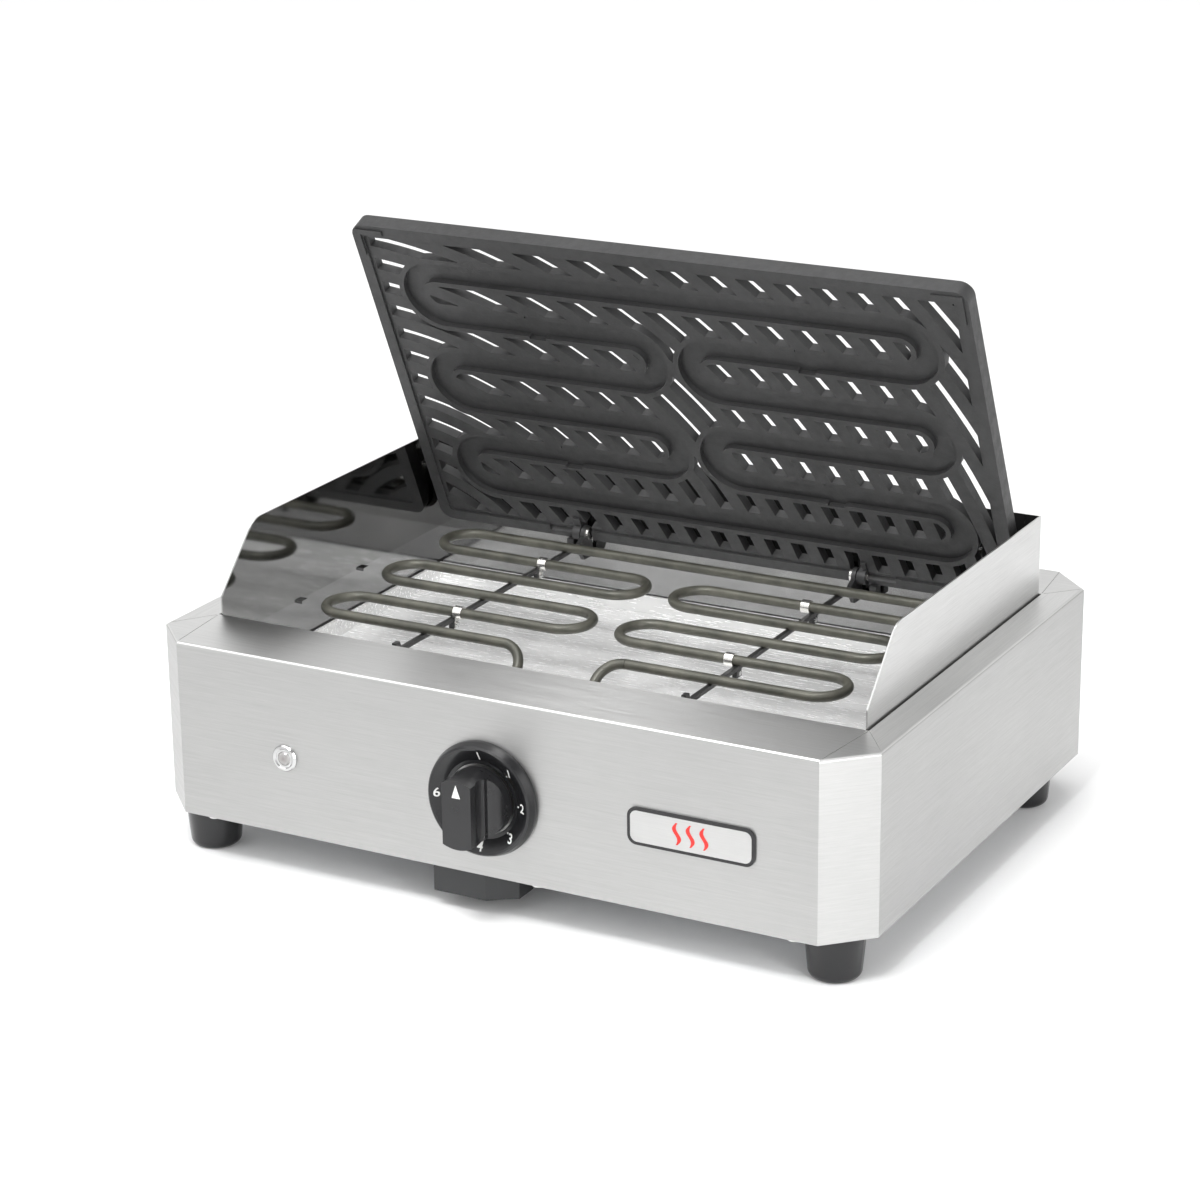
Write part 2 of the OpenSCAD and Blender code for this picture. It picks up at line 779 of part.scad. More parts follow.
module control_knob() {
    grip_w = 20;
    step = 15;
    color("#1b1b1b") on_feet() out_of_panel(0, control_z) difference() {
        union() {
            translate([0, 0, knob_back]) cylinder(r = knob_r, h = step - knob_back);
            intersection() {
                translate([0, 0, knob_back]) cylinder(r = knob_r, h = knob_reach - knob_back);
                translate([-grip_w / 2, -knob_r, knob_back]) cube([grip_w, 2 * knob_r, knob_reach]);
            }
        }
        // scoops beside the grip
        both_sides() translate([knob_r - 3, 0, step + 7]) rotate([90, 0, 0])
            cylinder(r = 10.5, h = 3 * knob_r, center = true);
        translate([0, 0, knob_back - 1]) cylinder(r = knob_r - 2.5, h = 4);
        translate([0, 0, knob_back]) cylinder(d = shaft_d, h = 18);
    }
}

module regulator_shaft() {
    color("goldenrod") on_feet() out_of_panel(0, control_z)
        translate([0, 0, -sheet - 0.6]) cylinder(d = shaft_d, h = sheet + 0.6 + knob_back + 17);
}

module regulator_body() {
    size = regulator_w;
    color("ivory") on_feet() out_of_panel(0, control_z) translate([0, 0, -sheet]) difference() {
        union() {
            translate([-size / 2, -size / 2, -regulator_t]) cube([size, size, regulator_t]);
            for (x = [-12, 0, 12], y = [-1, 1])
                translate([x - 3.15, y * tab_rows - 0.4, -regulator_t - tab_l]) cube([6.3, 0.8, tab_l]);
        }
        translate([0, 0, -0.6]) cylinder(r = shaft_d / 2 + 0.6, h = 2);
        for (s = [-1, 1]) translate([0, s * fixing_spacing / 2, -8]) cylinder(d = 4, h = 9);
    }
}

module regulator_screws() {
    color("silver") on_feet() for (s = [-1, 1])
        out_of_panel(0, control_z + s * fixing_spacing / 2) mirror([0, 0, 1])
            screw(7, 2.2, 4, sheet + 6);
}

module pilot_bezel() {
    color("white") on_feet() out_of_panel(-pilot_x, control_z) rotate_extrude()
        polygon([
            [pilot_body_r, 0], [pilot_r, 0], [pilot_r, 1], [pilot_r - 0.8, 2],
            [pilot_r - 2, 2.3], [pilot_body_r, 1.6]
        ]);
}

module pilot_lens() {
    dome = 2.4;
    color("lightgray") on_feet() out_of_panel(-pilot_x, control_z) {
        cylinder(r = lens_r, h = 1.2);
        translate([0, 0, 1.2]) cylinder(r1 = lens_r, r2 = lens_r - 1.2, h = dome - 1.2);
    }
}

module pilot_body() {
    color("white") on_feet() out_of_panel(-pilot_x, control_z) {
        difference() {
            translate([0, 0, -pilot_tube_l]) cylinder(r = pilot_body_r, h = pilot_tube_l + 1.5);
            cylinder(r = lens_r, h = 2);
        }
        for (s = [-1, 1])
            translate([s * 3 - 0.4, -2.4, -pilot_tube_l - tab_l + 1]) cube([0.8, 4.8, tab_l - 1]);
    }
}

module pilot_nut() {
    color("dimgray") on_feet() out_of_panel(-pilot_x, control_z)
        translate([0, 0, -sheet - 3.5]) difference() {
            cylinder(r = 9.5, h = 3.5, $fn = 6);
            translate([0, 0, -1]) cylinder(r = pilot_body_r, h = 6);
        }
}

module badge_plate() {
    color("#20242a") on_feet() out_of_panel(badge_x, control_z + 2)
        linear_extrude(1.4) rounded_rect(badge_w, badge_h, 6);
}

// ---- cable box and wiring ----

function box_screw_places() = [
    for (x = [-1, 1], y = [-1, 1]) [box_cx + x * (box_w / 2 - 8), box_cy + y * (box_l / 2 - 15)]
];

module box_outline(inset) {
    cut_x = 17 - inset * 0.35;
    cut_y = 12 - inset * 0.35;
    x0 = box_left + inset;
    x1 = box_left + box_w - inset;
    y0 = box_front + inset;
    y1 = box_front + box_l - inset;
    polygon([[x0, y0], [x1 - cut_x, y0], [x1, y0 + cut_y], [x1, y1], [x0, y1]]);
}

module cable_box() {
    boss = 7.5;
    rear = box_front + box_l;
    color("#202224") on_feet() difference() {
        union() {
            translate([0, 0, -box_h]) linear_extrude(box_h) difference() {
                box_outline(0);
                box_outline(box_wall);
            }
            translate([0, 0, -box_h]) linear_extrude(box_wall) box_outline(box_wall / 2);
            for (p = box_screw_places())
                translate([p[0] - boss / 2, p[1] - boss / 2, -box_h + box_wall / 2])
                    cube([boss, boss, box_h - box_wall / 2]);
        }
        for (p = box_screw_places()) translate([p[0], p[1], -box_h - 1]) {
            cylinder(d = 3.4, h = box_h + 2);
            cylinder(d = 6, h = 5);
        }
        translate([box_cx, rear + 1, -box_h / 2]) rotate([90, 0, 0])
            cylinder(d = cable_d, h = box_wall + 2);
        for (s = [-1, 1]) translate([box_cx + s * 9, rear - 12, -box_h - 1])
            cylinder(d = 3, h = box_wall + 2);
    }
}

module cable_box_screws() {
    color("silver") on_feet() for (p = box_screw_places())
        translate([p[0], p[1], -box_h + 4]) screw(5.6, 2, 3, box_h - 4 + base_t + 1.5);
}

// bar that holds the cable down on the floor of the box
module cable_clamp() {
    rear = box_front + box_l;
    floor_z = box_wall - box_h;
    gap_h = cable_d / 2 + 0.3 - box_h / 2 - floor_z;
    color("#2c2e30") on_feet() translate([box_cx, rear - 12, floor_z]) difference() {
        translate([-12.5, -3.5, 0]) cube([25, 7, gap_h + 1.8]);
        translate([-5.5, -4.5, -1]) cube([11, 9, gap_h + 1]);
        for (s = [-1, 1]) translate([s * 9, 0, -1]) cylinder(d = 3, h = 8);
    }
}

module clamp_screws() {
    rear = box_front + box_l;
    color("silver") on_feet() for (s = [-1, 1])
        translate([box_cx + s * 9, rear - 12, -box_h]) screw(5.6, 2, 3, box_wall + 6);
}

block_l = 30;
module terminal_block() {
    color("beige") on_feet()
        translate([box_cx - block_l / 2, box_front + 12, box_wall - box_h]) difference() {
            cube([block_l, 16, 13]);
            for (x = [5, 15, 25]) {
                translate([x, 8, 6]) cylinder(d = 5, h = 8);
                translate([x, -1, 5]) rotate([-90, 0, 0]) cylinder(d = 3.4, h = 18);
            }
        }
}

module terminal_screws() {
    color("khaki") on_feet() for (x = [5, 15, 25])
        translate([box_cx - block_l / 2 + x, box_front + 20, box_wall - box_h + 7])
            cylinder(d = 4.4, h = 4);
}

earth_x = box_left + box_w + 17;
earth_y = box_cy + 12;
earth_l = 12;

module earth_stud() {
    color("silver") on_feet() translate([earth_x, earth_y, 0]) screw(7, 2, 4, base_t + earth_l);
}

module earth_nut() {
    color("silver") on_feet() translate([earth_x, earth_y, base_t]) difference() {
        cylinder(r = 4.04, h = 3.2, $fn = 6);
        translate([0, 0, -1]) cylinder(d = 4, h = 6);
    }
}

// one insulated wire of straight stretches, with a round bead at each corner
module wire(points) {
    r = 1.3;
    back = 0.6;
    last = len(points) - 2;
    for (i = [0:last]) {
        run = points[i + 1] - points[i];
        length = norm(run);
        from = i == 0 ? 0 : back;
        to = i == last ? length : length - back;
        translate(points[i]) rotate([0, acos(run[2] / length), atan2(run[1], run[0])])
            translate([0, 0, from]) cylinder(r = r, h = to - from);
    }
    for (i = [1:last]) translate(points[i]) sphere(r = r + 0.3);
}

module wiring() {
    tab_y = front_y + sheet + regulator_t + tab_l;
    turn_y = tab_y + 5.5;
    pin_end_y = lead_end_y - terminal_l;
    block_z = box_wall - box_h + 5;
    block_y = box_front + 28;
    up_y = block_y + 8;
    pilot_y = front_y + pilot_tube_l + tab_l - 1;
    low_z = 12;
    run_y = pilot_y + 11;
    under_y = well_front - 5;
    color("#8a2b22") on_feet() {
        // supply, from the terminal block to the regulator's lower tabs
        for (s = [-1, 1]) wire([
            [box_cx + 10 * s, block_y, block_z], [box_cx + 10 * s, up_y, block_z],
            [box_cx + 10 * s, up_y, low_z], [12 * s, turn_y, tab_low_z - 15],
            [12 * s, turn_y, tab_low_z], [12 * s, tab_y, tab_low_z]
        ]);
        // from the regulator's upper tabs to the element's terminals
        for (s = [-1, 1]) wire([
            [12 * s, tab_y, tab_high_z], [12 * s, turn_y, tab_high_z],
            [14 * s, tab_y - 1.5, tab_high_z + 14], [lead_x * s, pin_end_y - 7, lead_out_z],
            [lead_x * s, pin_end_y, lead_out_z]
        ]);
        // from the pilot light to the regulator's middle tabs
        wire([
            [-pilot_x - 3, pilot_y, control_z], [-pilot_x - 3, pilot_y + 7, control_z],
            [-pilot_x + 14, run_y, low_z + 12], [-40, run_y, low_z + 12],
            [0, under_y, low_z + 18], [0, turn_y + 2, tab_low_z], [0, tab_y, tab_low_z]
        ]);
        wire([
            [-pilot_x + 3, pilot_y, control_z], [-pilot_x + 3, pilot_y + 7, control_z],
            [-pilot_x + 20, run_y, low_z + 18], [-40, under_y, low_z + 18],
            [0, under_y, tab_low_z + 8], [0, turn_y + 2, tab_high_z], [0, tab_y, tab_high_z]
        ]);
        // earth, from the terminal block to the stud
        wire([
            [box_cx, block_y, block_z], [box_cx, up_y, block_z], [box_cx, up_y, low_z - 6],
            [box_cx, under_y + 1, low_z], [earth_x, earth_y, base_t + earth_l + 7],
            [earth_x, earth_y, base_t + earth_l]
        ]);
    }
}

housing_shell();
base_plate();
base_screws();
well_pan();
drip_tray();
guard_rests();
splash_guard();
cast_grate();
hinge_pins();
support_bar_left();
support_bar_right();
heating_element();
element_clips();
clip_rivets();
element_glands();
gland_nuts();
element_terminals();
control_knob();
regulator_shaft();
regulator_body();
regulator_screws();
dial_bezel();
pilot_bezel();
pilot_lens();
pilot_nut();
pilot_body();
badge_plate();
feet();
foot_screws();
foot_nuts();
cable_box();
cable_box_screws();
cable_clamp();
clamp_screws();
terminal_block();
terminal_screws();
earth_stud();
earth_nut();
wiring();
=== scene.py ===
"""Looks for an electric table grill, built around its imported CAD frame."""

import math

import bpy
from mathutils import Matrix, Vector


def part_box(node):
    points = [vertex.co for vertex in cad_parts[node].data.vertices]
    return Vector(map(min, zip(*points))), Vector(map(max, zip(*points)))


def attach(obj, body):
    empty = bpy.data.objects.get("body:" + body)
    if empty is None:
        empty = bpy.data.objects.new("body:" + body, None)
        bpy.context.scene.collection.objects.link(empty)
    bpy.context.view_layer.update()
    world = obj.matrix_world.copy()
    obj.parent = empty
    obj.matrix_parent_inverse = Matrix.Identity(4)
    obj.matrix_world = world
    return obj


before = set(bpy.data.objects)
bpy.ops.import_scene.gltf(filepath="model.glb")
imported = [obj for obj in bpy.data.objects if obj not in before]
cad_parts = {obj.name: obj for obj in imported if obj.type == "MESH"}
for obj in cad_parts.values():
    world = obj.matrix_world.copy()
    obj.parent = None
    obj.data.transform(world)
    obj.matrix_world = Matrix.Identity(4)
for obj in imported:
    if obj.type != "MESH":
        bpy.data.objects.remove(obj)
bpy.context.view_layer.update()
scene = bpy.context.scene
MM = 0.001


# ---------------------------------------------------------------- places

def centre(node):
    lo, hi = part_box(node)
    return (Vector(lo) + Vector(hi)) / 2


shell_lo, shell_hi = (Vector(c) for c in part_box("housing_shell"))
mid_y = (shell_lo.y + shell_hi.y) / 2
half_w = (shell_hi.x - shell_lo.x) / 2
front_y = shell_lo.y


# ---------------------------------------------------------------- materials

class Nodes:
    """A small builder for one material's node tree."""

    def __init__(self, name):
        self.mat = bpy.data.materials.new(name)
        self.mat.use_nodes = True
        self.tree = self.mat.node_tree
        self.bsdf = self.tree.nodes["Principled BSDF"]

    def add(self, kind, **values):
        n = self.tree.nodes.new(kind)
        for k, v in values.items():
            setattr(n, k, v)
        return n

    def link(self, a, b):
        self.tree.links.new(a, b)

    def feed(self, socket, value):
        if isinstance(value, bpy.types.NodeSocket):
            self.link(value, socket)
        else:
            socket.default_value = value

    def math(self, op, a, b=0.0, clamp=False):
        n = self.add("ShaderNodeMath", operation=op, use_clamp=clamp)
        self.feed(n.inputs[0], a)
        self.feed(n.inputs[1], b)
        return n.outputs[0]

    def coords(self):
        return self.add("ShaderNodeTexCoord").outputs["Object"]

    def split(self, vector):
        n = self.add("ShaderNodeSeparateXYZ")
        self.link(vector, n.inputs[0])
        return n.outputs

    def join(self, x, y, z):
        n = self.add("ShaderNodeCombineXYZ")
        for s, v in zip(n.inputs, (x, y, z)):
            self.feed(s, v)
        return n.outputs[0]

    def normal(self):
        return self.split(self.add("ShaderNodeNewGeometry").outputs["True Normal"])

    def scaled(self, vector, scale):
        n = self.add("ShaderNodeMapping")
        self.link(vector, n.inputs["Vector"])
        n.inputs["Scale"].default_value = scale
        return n.outputs[0]

    def noise(self, vector, scale, detail=3.0, rough=0.55, distortion=0.0):
        n = self.add("ShaderNodeTexNoise")
        self.link(vector, n.inputs["Vector"])
        n.inputs["Scale"].default_value = scale
        n.inputs["Detail"].default_value = detail
        n.inputs["Roughness"].default_value = rough
        n.inputs["Distortion"].default_value = distortion
        return n.outputs["Fac"]

    def voronoi(self, vector, scale):
        n = self.add("ShaderNodeTexVoronoi")
        self.link(vector, n.inputs["Vector"])
        n.inputs["Scale"].default_value = scale
        return n.outputs["Distance"]

    def remap(self, value, a, b, c, d):
        n = self.add("ShaderNodeMapRange")
        self.feed(n.inputs["Value"], value)
        for key, v in (("From Min", a), ("From Max", b), ("To Min", c), ("To Max", d)):
            n.inputs[key].default_value = v
        return n.outputs["Result"]

    def mix(self, fac, a, b):
        n = self.add("ShaderNodeMix", data_type="RGBA")
        self.feed(n.inputs["Factor"], fac)
        for key, v in (("A", a), ("B", b)):
            s = next(i for i in n.inputs if i.name == key and i.type == "RGBA")
            self.feed(s, (*v, 1.0) if isinstance(v, (tuple, list)) and len(v) == 3 else v)
        return next(o for o in n.outputs if o.type == "RGBA")

    def mix_vector(self, fac, a, b):
        n = self.add("ShaderNodeMix", data_type="VECTOR")
        self.feed(n.inputs["Factor"], fac)
        for key, v in (("A", a), ("B", b)):
            s = next(i for i in n.inputs if i.name == key and i.type == "VECTOR")
            self.feed(s, v)
        return next(o for o in n.outputs if o.type == "VECTOR")

    def bump(self, height, strength, distance, normal=None):
        n = self.add("ShaderNodeBump")
        self.link(height, n.inputs["Height"])
        n.inputs["Strength"].default_value = strength
        n.inputs["Distance"].default_value = distance
        if normal is not None:
            self.link(normal, n.inputs["Normal"])
        return n.outputs[0]

    def surface(self, metallic=0.0, rough=0.5, **extra):
        self.bsdf.inputs["Metallic"].default_value = metallic
        self.feed(self.bsdf.inputs["Roughness"], rough)
        for k, v in extra.items():
            self.feed(self.bsdf.inputs[k.replace("_", " ")], v)


def shade(rgb, k):
    return tuple(c * k for c in rgb)


GRAIN_STRETCH = 60.0       # how many times longer than wide a streak is
LEVEL_FACE = 0.6           # a face whose normal rises more than this is part of the rim
SIDE_RIM_W = 22.8 * MM     # where the side rim's grain begins, in from the side
MITRE_START = 134.5 * MM   # where the mitre begins, out from the middle


def grain_coords(n, kind):
    """Coordinates whose first axis runs along the grain, and the others across it."""
    x, y, z = n.split(n.coords())
    if kind == "x":
        return n.join(x, n.math("MULTIPLY", y, GRAIN_STRETCH), n.math("MULTIPLY", z, GRAIN_STRETCH))
    # the housing: along each wall, and along each rim up to the mitre seams
    along_wall = n.math("ADD", x, y)
    wall = n.join(along_wall, n.math("MULTIPLY", z, GRAIN_STRETCH), 0.0)
    rim_x = n.join(x, n.math("MULTIPLY", y, GRAIN_STRETCH), 0.3)
    rim_y = n.join(y, n.math("MULTIPLY", x, GRAIN_STRETCH), 0.7)
    beyond = n.math("SUBTRACT", n.math("ABSOLUTE", x), half_w - SIDE_RIM_W)
    behind = n.math("SUBTRACT", n.math("ABSOLUTE", n.math("SUBTRACT", y, mid_y)), MITRE_START)
    side = n.math("GREATER_THAN", n.math("SUBTRACT", beyond, n.math("MULTIPLY", behind, 0.8)), 0.0)
    rim = n.mix_vector(side, rim_x, rim_y)
    flat = n.math("GREATER_THAN", n.math("ABSOLUTE", n.normal()[2]), LEVEL_FACE)
    return n.mix_vector(flat, wall, rim)


RIM_PAINTED_HIGHLIGHT = 1.7    # painted highlight: how much lighter the flat rim's base colour is than the walls', standing in for the brighter light the rim reflects; chosen for its tone


def brushed(name, rgb, rough=0.3, grain="x", depth=0.16, streak=0.25, patch=0.06):
    n = Nodes(name)
    v = grain_coords(n, grain)
    fine = n.noise(v, 52.0, 5.0, 0.72)
    wide = n.noise(v, 14.0, 4.0, 0.65)
    cloud = n.noise(n.coords(), 7.0, 2.0, 0.5)
    lines = n.math("ADD", n.math("MULTIPLY", fine, 0.6), n.math("MULTIPLY", wide, 0.4))
    tone = n.remap(lines, 0.32, 0.68, 1.0 - streak, 1.0 + streak * 0.35)
    tone = n.math("MULTIPLY", tone, n.remap(cloud, 0.3, 0.7, 1.0 - patch, 1.0 + patch))
    # painted highlight: on the housing, the flat upward-facing rim faces get a lighter base colour than
    # the walls, standing in for the light they reflect
    if grain == "housing":
        rim_highlight = n.math("GREATER_THAN", n.math("ABSOLUTE", n.normal()[2]), LEVEL_FACE)
        tone = n.math("MULTIPLY", tone, n.remap(rim_highlight, 0.0, 1.0, 1.0, RIM_PAINTED_HIGHLIGHT))
    t = n.math("MULTIPLY", tone, 0.5, clamp=True)
    n.link(n.mix(t, shade(rgb, 0.0), shade(rgb, 2.0)), n.bsdf.inputs["Base Color"])
    r = n.remap(lines, 0.3, 0.7, rough * 1.25, rough * 0.8)
    n.surface(1.0, r, Anisotropic=0.7, Anisotropic_Rotation=0.25)
    n.link(n.bump(fine, depth, 0.00012), n.bsdf.inputs["Normal"])
    return n.mat


def polished(name, rgb, rough=0.1, wave=0.0, wave_scale=9.0, smear=0.08, metal=1.0):
    n = Nodes(name)
    v = n.coords()
    haze = n.noise(v, 35.0, 4.0, 0.6)
    scuff = n.noise(n.scaled(v, (1.0, 9.0, 9.0)), 60.0, 3.0, 0.7)
    n.link(n.mix(n.remap(haze, 0.3, 0.7, 0.0, 1.0), shade(rgb, 1.0 - smear), rgb),
           n.bsdf.inputs["Base Color"])
    n.surface(metal, n.remap(scuff, 0.3, 0.75, rough * 0.8, rough * 1.5))
    height = n.noise(v, 180.0, 2.0, 0.5)
    out = n.bump(height, 0.08, 0.0002)
    if wave:
        soft = n.noise(n.scaled(v, (1.0, 0.12, 1.0)), wave_scale, 2.0, 0.5, 0.6)
        out = n.bump(soft, wave, 0.004, out)
    n.link(out, n.bsdf.inputs["Normal"])
    return n.mat


def guard_metal(name):
    """Brushed on its outer faces, polished to a high gloss on the faces that look into the well, which
    get a darker base colour as painted shade.
    """
    n = Nodes(name)
    x, y, z = n.split(n.coords())
    nx, ny, nz = n.normal()
    side_in = n.math("LESS_THAN", n.math("MULTIPLY", nx, n.math("SIGN", x)), -0.5)
    rear_in = n.math("LESS_THAN", ny, -0.5)
    inner = n.math("MAXIMUM", side_in, rear_in)
    v = n.join(n.math("ADD", x, y), n.math("MULTIPLY", z, GRAIN_STRETCH), 0.0)
    fine = n.noise(v, 24.0, 5.0, 0.7)
    cloud = n.noise(n.coords(), 9.0, 2.0, 0.5)
    outer = n.mix(n.remap(fine, 0.3, 0.7, 0.0, 1.0), (0.56, 0.56, 0.555), (0.66, 0.66, 0.655))
    # painted shade: the polished faces that look into the well get a darker base colour than the outer
    # faces, standing in for the dark surroundings they reflect
    polished_painted_shade = n.mix(n.remap(cloud, 0.3, 0.7, 0.0, 1.0), (0.29, 0.29, 0.29), (0.36, 0.36, 0.355))
    n.link(n.mix(inner, outer, polished_painted_shade), n.bsdf.inputs["Base Color"])
    r_out = n.remap(fine, 0.3, 0.7, 0.42, 0.32)
    r_in = n.remap(cloud, 0.3, 0.7, 0.05, 0.085)
    m = n.add("ShaderNodeMix", data_type="FLOAT")
    n.link(inner, m.inputs["Factor"])
    n.link(r_out, m.inputs["A"])
    n.link(r_in, m.inputs["B"])
    n.surface(1.0, m.outputs["Result"])
    n.link(n.bump(fine, 0.05, 0.0001), n.bsdf.inputs["Normal"])
    return n.mat


def cast_iron(name, rgb, rough=0.52, grit=0.5):
    n = Nodes(name)
    v = n.coords()
    sand = n.noise(v, 900.0, 3.0, 0.65)
    lumps = n.noise(v, 160.0, 3.0, 0.6)
    cloud = n.noise(v, 14.0, 3.0, 0.55)
    speck = n.math("LESS_THAN", n.voronoi(v, 420.0), 0.13)
    base = n.mix(n.remap(cloud, 0.3, 0.7, 0.0, 1.0), shade(rgb, 0.78), shade(rgb, 1.18))
    base = n.mix(n.math("MULTIPLY", speck, 0.35), base, shade(rgb, 2.2))
    n.link(base, n.bsdf.inputs["Base Color"])
    n.surface(0.0, n.remap(lumps, 0.3, 0.7, rough * 0.85, rough * 1.2))
    n.bsdf.inputs["Specular IOR Level"].default_value = 0.62
    out = n.bump(sand, grit, 0.0003)
    n.link(n.bump(lumps, grit * 0.8, 0.0006, out), n.bsdf.inputs["Normal"])
    return n.mat


def sheath(name):
    """Heat-tinted tube: dark olive, with lighter rubs."""
    n = Nodes(name)
    v = n.coords()
    cloud = n.noise(v, 60.0, 4.0, 0.6)
    grit = n.noise(v, 1400.0, 2.0, 0.6)
    base = n.mix(n.remap(cloud, 0.32, 0.68, 0.0, 1.0), (0.050, 0.050, 0.041), (0.098, 0.096, 0.078))
    n.link(base, n.bsdf.inputs["Base Color"])
    n.surface(0.35, n.remap(cloud, 0.3, 0.7, 0.36, 0.5))
    n.link(n.bump(grit, 0.25, 0.0002), n.bsdf.inputs["Normal"])
    return n.mat


def plastic(name, rgb, rough=0.3, grit=0.1, scale=1200.0, spec=0.5, dust=0.12):
    n = Nodes(name)
    v = n.coords()
    fine = n.noise(v, scale, 2.0, 0.5)
    cloud = n.noise(v, 45.0, 4.0, 0.6)
    n.link(n.mix(n.remap(cloud, 0.3, 0.7, 0.0, 1.0), shade(rgb, 1.0 - dust), shade(rgb, 1.0 + dust)),
           n.bsdf.inputs["Base Color"])
    n.surface(0.0, n.remap(cloud, 0.3, 0.7, rough * 0.85, rough * 1.2))
    n.bsdf.inputs["Specular IOR Level"].default_value = spec
    n.link(n.bump(fine, grit, 0.00015), n.bsdf.inputs["Normal"])
    return n.mat


def printed(name, rgb, rough=0.45):
    n = Nodes(name)
    v = n.coords()
    cloud = n.noise(v, 800.0, 3.0, 0.6)
    n.link(n.mix(n.remap(cloud, 0.3, 0.7, 0.0, 1.0), shade(rgb, 0.9), rgb), n.bsdf.inputs["Base Color"])
    n.surface(0.0, rough)
    n.link(n.bump(cloud, 0.15, 0.00005), n.bsdf.inputs["Normal"])
    return n.mat


STEEL = (0.46, 0.46, 0.455)
M = {
    "housing": brushed("housing_brushed", STEEL, 0.36, "housing", 0.1, 0.13, 0.03),
    "zinc": brushed("zinc_plate", (0.5, 0.51, 0.52), 0.42, "x", 0.1, 0.12, 0.12),
    "well": polished("well_bright", (0.42, 0.42, 0.42), 0.12, 0.1, 12.0),
    "tray": polished("tray_bright", (0.95, 0.95, 0.945), 0.22, 0.3, 30.0, 0.05, 0.35),
    "guard": guard_metal("guard_steel"),
    "iron": cast_iron("grate_iron", (0.019, 0.019, 0.0195), 0.5, 0.45),
    "bar": cast_iron("bar_black", (0.018, 0.018, 0.018), 0.4, 0.25),
    "sheath": sheath("element_sheath"),
    "clip": polished("clip_bright", (0.78, 0.77, 0.74), 0.2),
    "zinc_screw": polished("screw_bright", (0.7, 0.7, 0.69), 0.25),
    "brass": polished("brass_turned", (0.74, 0.58, 0.3), 0.28),
    "ceramic": plastic("glazed_ceramic", (0.82, 0.8, 0.74), 0.2, 0.08),
    "knob": plastic("knob_black", (0.013, 0.013, 0.014), 0.3, 0.16, 1500.0),
    "dial": plastic("dial_gloss", (0.010, 0.010, 0.011), 0.2, 0.05, 900.0),
    "cream": plastic("cream_moulding", (0.7, 0.68, 0.6), 0.45, 0.15),
    "chrome": polished("chrome", (0.6, 0.6, 0.6), 0.12),
    "nylon": plastic("grey_nylon", (0.5, 0.5, 0.5), 0.45, 0.12),
    "foot": plastic("foot_black", (0.011, 0.011, 0.012), 0.22, 0.06, 700.0),
    "box": plastic("box_black", (0.018, 0.019, 0.020), 0.42, 0.25, 1600.0),
    "wire": plastic("silicone_red", (0.4, 0.06, 0.04), 0.5, 0.2),
    "white": printed("print_white", (0.85, 0.85, 0.83)),
    "plate": plastic("badge_black", (0.012, 0.012, 0.013), 0.25, 0.05),
    "silver": brushed("badge_field", (0.55, 0.55, 0.545), 0.35, "x", 0.08, 0.08),
    "red": printed("badge_red", (0.62, 0.02, 0.015), 0.3),
}


def lens_material():
    n = Nodes("pilot_milky")
    v = n.coords()
    c = centre("pilot_lens")
    x, y, z = n.split(v)
    dx = n.math("SUBTRACT", x, c.x)
    dz = n.math("SUBTRACT", z, c.z)
    r = n.math("SQRT", n.math("ADD", n.math("MULTIPLY", dx, dx), n.math("MULTIPLY", dz, dz)))
    ring = n.remap(r, 0.0, 0.0046, 0.0, 1.0)
    haze = n.noise(v, 500.0, 3.0, 0.6)
    col = n.mix(ring, (0.16, 0.14, 0.135), (0.34, 0.335, 0.33))
    n.link(n.mix(n.math("MULTIPLY", haze, 0.3), col, (0.5, 0.5, 0.49)), n.bsdf.inputs["Base Color"])
    n.surface(0.25, n.remap(haze, 0.3, 0.7, 0.12, 0.22))
    n.bsdf.inputs["Coat Weight"].default_value = 0.8
    n.link(n.bump(haze, 0.1, 0.0001), n.bsdf.inputs["Normal"])
    return n.mat


M["lens"] = lens_material()

NODE_MATERIAL = {
    "housing_shell": "housing", "base_plate": "zinc", "base_screws": "zinc_screw",
    "well_pan": "well", "drip_tray": "tray", "guard_rests": "well", "splash_guard": "guard",
    "cast_grate": "iron", "hinge_pins": "clip", "support_bar_left": "bar",
    "support_bar_right": "bar", "heating_element": "sheath", "element_clips": "clip",
    "clip_rivets": "zinc_screw", "element_glands": "zinc_screw", "gland_nuts": "brass",
    "element_terminals": "ceramic", "control_knob": "knob", "regulator_shaft": "brass",
    "regulator_body": "cream", "regulator_screws": "zinc_screw", "dial_bezel": "dial",
    "pilot_bezel": "chrome", "pilot_lens": "lens", "pilot_nut": "nylon", "pilot_body": "nylon",
    "badge_plate": "plate", "feet": "foot", "foot_screws": "zinc_screw",
    "foot_nuts": "zinc_screw", "cable_box": "box", "cable_box_screws": "zinc_screw",
    "cable_clamp": "box", "clamp_screws": "zinc_screw", "terminal_block": "cream",
    "terminal_screws": "brass", "earth_stud": "zinc_screw", "earth_nut": "zinc_screw",
    "wiring": "wire",
}


def wear(node, material):
    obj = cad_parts[node]
    if not obj.material_slots:
        obj.data.materials.append(None)
    for s in obj.material_slots:
        s.material = material


for node, key in NODE_MATERIAL.items():
    wear(node, M[key])


# ---------------------------------------------------------------- softened edges

def soften(node, width, segments=2, angle=32.0, merge=True):
    """Joins the flat triangles of a carried node, and rounds its hard edges."""
    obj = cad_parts[node]
    if merge:
        d = obj.modifiers.new("flats", "DECIMATE")
        d.decimate_type = "DISSOLVE"
        d.angle_limit = math.radians(0.6)
    b = obj.modifiers.new("edges", "BEVEL")
    b.width = width
    b.segments = segments
    b.limit_method = "ANGLE"
    b.angle_limit = math.radians(angle)
    b.harden_normals = True
    w = obj.modifiers.new("flat_faces", "WEIGHTED_NORMAL")
    w.mode = "FACE_AREA"
    w.weight = 100
    w.keep_sharp = True
    return obj


